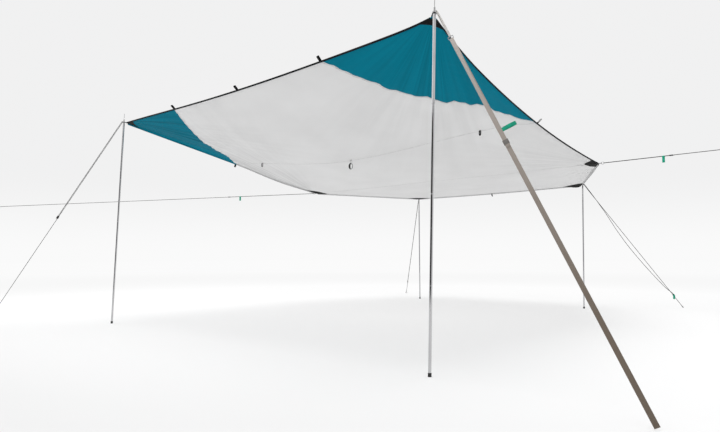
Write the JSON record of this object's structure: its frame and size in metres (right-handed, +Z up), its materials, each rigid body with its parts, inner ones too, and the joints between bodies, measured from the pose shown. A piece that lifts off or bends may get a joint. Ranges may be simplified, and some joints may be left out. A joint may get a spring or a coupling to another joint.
{
  "type": "tarp shelter",
  "caption": "Open tarp shelter: a sagging fabric canopy on sectional steel poles, held out by adjustable guys.",
  "frame": {"origin": "on the ground below the middle of the shelter's box, guys left out", "axes": "+Z up, +X along the high front edge to the front right pole, +Y from the front edge to the low rear edge"},
  "size_m": [9.0365, 6.3882, 2.285],
  "materials": {
    "canopy_grey": "matte",
    "canopy_teal": "matte",
    "binding": "matte",
    "patch_black": "matte",
    "webbing_black": "matte",
    "plastic_black": "satin",
    "buckle_grey": "satin",
    "ring_steel": "satin",
    "pole_steel": "satin",
    "tip_steel": "satin",
    "rubber_black": "matte",
    "ribbon_green": "matte",
    "strap_greige": "matte",
    "cord_grey": "matte"
  },
  "bodies": {
    "canopy": {"canopy_front_left_panel": "canopy_teal", "canopy_front_right_panel": "canopy_teal", "canopy_main_panel": "canopy_grey", "corner_patches": "patch_black", "corner_tabs": "webbing_black", "edge_binding": "binding", "edge_loops": "webbing_black", "eyelets": "ring_steel", "front_left_guy": "cord_grey", "front_right_guy_link": "webbing_black", "front_right_guy_ribbon": "ribbon_green", "front_right_guy_ring": "ring_steel", "front_right_guy_strap": "strap_greige", "guy_end_eyes": "cord_grey", "guy_rings": "ring_steel", "lantern_loops": "webbing_black", "lantern_ring": "plastic_black", "left_side_guy": "cord_grey", "left_side_guy_ribbon": "ribbon_green", "rear_left_guy": "cord_grey", "rear_right_guy": "cord_grey", "rear_right_guy_slack_leg": "cord_grey", "right_side_guy": "cord_grey", "right_side_guy_ribbon": "ribbon_green", "seam_tapes": "binding"},
    "front_right_pole_top": {"front_right_pole_section_4": "pole_steel", "front_right_pole_tip": "tip_steel"},
    "front_right_pole_tube_3": {"front_right_pole_section_3": "pole_steel"},
    "front_right_pole_tube_2": {"front_right_pole_section_2": "pole_steel"},
    "front_right_pole_tube_1": {"front_right_pole_section_1": "pole_steel", "front_right_pole_foot": "rubber_black"},
    "front_left_pole_top": {"front_left_pole_section_4": "pole_steel", "front_left_pole_tip": "tip_steel"},
    "front_left_pole_tube_3": {"front_left_pole_section_3": "pole_steel"},
    "front_left_pole_tube_2": {"front_left_pole_section_2": "pole_steel"},
    "front_left_pole_tube_1": {"front_left_pole_section_1": "pole_steel", "front_left_pole_foot": "rubber_black"},
    "rear_right_pole_top": {"rear_right_pole_section_3": "pole_steel", "rear_right_pole_tip": "tip_steel"},
    "rear_right_pole_tube_2": {"rear_right_pole_section_2": "pole_steel"},
    "rear_right_pole_tube_1": {"rear_right_pole_section_1": "pole_steel", "rear_right_pole_foot": "rubber_black"},
    "rear_left_pole_top": {"rear_left_pole_section_3": "pole_steel", "rear_left_pole_tip": "tip_steel"},
    "rear_left_pole_tube_2": {"rear_left_pole_section_2": "pole_steel"},
    "rear_left_pole_tube_1": {"rear_left_pole_section_1": "pole_steel", "rear_left_pole_foot": "rubber_black"},
    "front_left_slider": {"front_left_guy_slider": "plastic_black"},
    "right_side_slider": {"right_side_guy_slider": "plastic_black"},
    "left_side_slider": {"left_side_guy_slider": "plastic_black"},
    "rear_left_slider": {"rear_left_guy_slider": "plastic_black"},
    "rear_right_slider": {"rear_right_guy_slider": "plastic_black", "rear_right_guy_ribbon": "ribbon_green"},
    "strap_slider": {"front_right_guy_buckle": "buckle_grey"}
  },
  "joints": [
    {"name": "front_right_pole_tilt", "type": "hinge", "parent": "canopy", "child": "front_right_pole_top", "pos_m": [1.984, -2.319, 2.19], "axis": [0.7572, 0.6532, 0], "range_deg": [0, 20]},
    {"name": "front_right_pole_joint_3", "type": "slide", "parent": "front_right_pole_top", "child": "front_right_pole_tube_3", "axis": [-0.0192, -0.0155, -0.9997], "range_m": [0, 0.09]},
    {"name": "front_right_pole_joint_2", "type": "slide", "parent": "front_right_pole_tube_3", "child": "front_right_pole_tube_2", "axis": [-0.0192, -0.0155, -0.9997], "range_m": [0, 0.09]},
    {"name": "front_right_pole_joint_1", "type": "slide", "parent": "front_right_pole_tube_2", "child": "front_right_pole_tube_1", "axis": [-0.0192, -0.0155, -0.9997], "range_m": [0, 0.09]},
    {"name": "front_left_pole_tilt", "type": "hinge", "parent": "canopy", "child": "front_left_pole_top", "pos_m": [-1.984, -2.319, 2.155], "axis": [0.7572, -0.6532, 0], "range_deg": [0, 20]},
    {"name": "front_left_pole_joint_3", "type": "slide", "parent": "front_left_pole_top", "child": "front_left_pole_tube_3", "axis": [-0.0107, -0.0255, -0.9996], "range_m": [0, 0.09]},
    {"name": "front_left_pole_joint_2", "type": "slide", "parent": "front_left_pole_tube_3", "child": "front_left_pole_tube_2", "axis": [-0.0107, -0.0255, -0.9996], "range_m": [0, 0.09]},
    {"name": "front_left_pole_joint_1", "type": "slide", "parent": "front_left_pole_tube_2", "child": "front_left_pole_tube_1", "axis": [-0.0107, -0.0255, -0.9996], "range_m": [0, 0.09]},
    {"name": "rear_right_pole_tilt", "type": "hinge", "parent": "canopy", "child": "rear_right_pole_top", "pos_m": [1.322, 2.371, 1.645], "axis": [-0.8751, 0.484, 0], "range_deg": [0, 20]},
    {"name": "rear_right_pole_joint_2", "type": "slide", "parent": "rear_right_pole_top", "child": "rear_right_pole_tube_2", "axis": [-0.0201, 0, -0.9998], "range_m": [0, 0.09]},
    {"name": "rear_right_pole_joint_1", "type": "slide", "parent": "rear_right_pole_tube_2", "child": "rear_right_pole_tube_1", "axis": [-0.0201, 0, -0.9998], "range_m": [0, 0.09]},
    {"name": "rear_left_pole_tilt", "type": "hinge", "parent": "canopy", "child": "rear_left_pole_top", "pos_m": [-1.322, 2.371, 1.645], "axis": [-0.8751, -0.484, 0], "range_deg": [0, 20]},
    {"name": "rear_left_pole_joint_2", "type": "slide", "parent": "rear_left_pole_top", "child": "rear_left_pole_tube_2", "axis": [0.0012, -0.0018, -1], "range_m": [0, 0.09]},
    {"name": "rear_left_pole_joint_1", "type": "slide", "parent": "rear_left_pole_tube_2", "child": "rear_left_pole_tube_1", "axis": [0.0012, -0.0018, -1], "range_m": [0, 0.09]},
    {"name": "front_left_guy_adjust", "type": "slide", "parent": "canopy", "child": "front_left_slider", "axis": [-0.4621, -0.3211, -0.8266], "range_m": [-0.15, 0.35]},
    {"name": "right_side_guy_adjust", "type": "slide", "parent": "canopy", "child": "right_side_slider", "axis": [0.9998, 0.0169, 0.0101], "range_m": [-0.03, 0.3]},
    {"name": "left_side_guy_adjust", "type": "slide", "parent": "canopy", "child": "left_side_slider", "axis": [-0.7645, -0.6434, -0.039], "range_m": [-0.12, 0.4]},
    {"name": "rear_left_guy_adjust", "type": "slide", "parent": "canopy", "child": "rear_left_slider", "axis": [-0.4241, 0.4071, -0.809], "range_m": [-0.4, 0.12]},
    {"name": "rear_right_guy_adjust", "type": "slide", "parent": "canopy", "child": "rear_right_slider", "axis": [0.4634, 0.4001, -0.7907], "range_m": [-0.01, 0.08]},
    {"name": "front_right_guy_adjust", "type": "slide", "parent": "canopy", "child": "strap_slider", "axis": [0.4717, -0.1021, -0.8758], "range_m": [-0.04, 0.5]}
  ]
}
